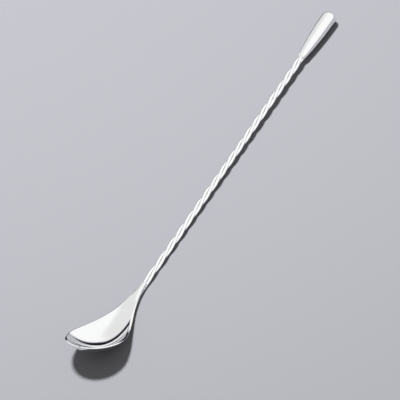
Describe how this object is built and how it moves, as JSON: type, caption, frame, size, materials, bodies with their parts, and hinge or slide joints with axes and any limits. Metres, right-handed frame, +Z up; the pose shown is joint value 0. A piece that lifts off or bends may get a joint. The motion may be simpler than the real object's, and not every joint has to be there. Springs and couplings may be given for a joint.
{
  "type": "bar spoon",
  "caption": "Polished steel bar spoon: pear-shaped bowl, left-hand twisted shaft of round rods and a round teardrop end, for stirring and measuring drinks.",
  "frame": {"origin": "middle of the footprint on the surface that the spoon lies on, bowl open upwards", "axes": "+Y along the shaft from the bowl to the teardrop end, +Z up out of the bowl, +X across the bowl"},
  "size_m": [0.0268, 0.2602, 0.0156],
  "materials": {
    "polished_steel": "mirror-polished stainless steel with faint hairlines",
    "polished_rod": "polished stainless wire rod, slightly softer than the bowl",
    "silver_braze": "silver braze, wiped smooth and polished"
  },
  "bodies": {
    "root": {"bowl": "polished_steel", "rod_1": "polished_rod", "rod_2": "polished_rod", "rod_3": "polished_rod", "bulb": "polished_steel", "neck_braze": "silver_braze", "bulb_braze": "silver_braze"}
  },
  "joints": []
}
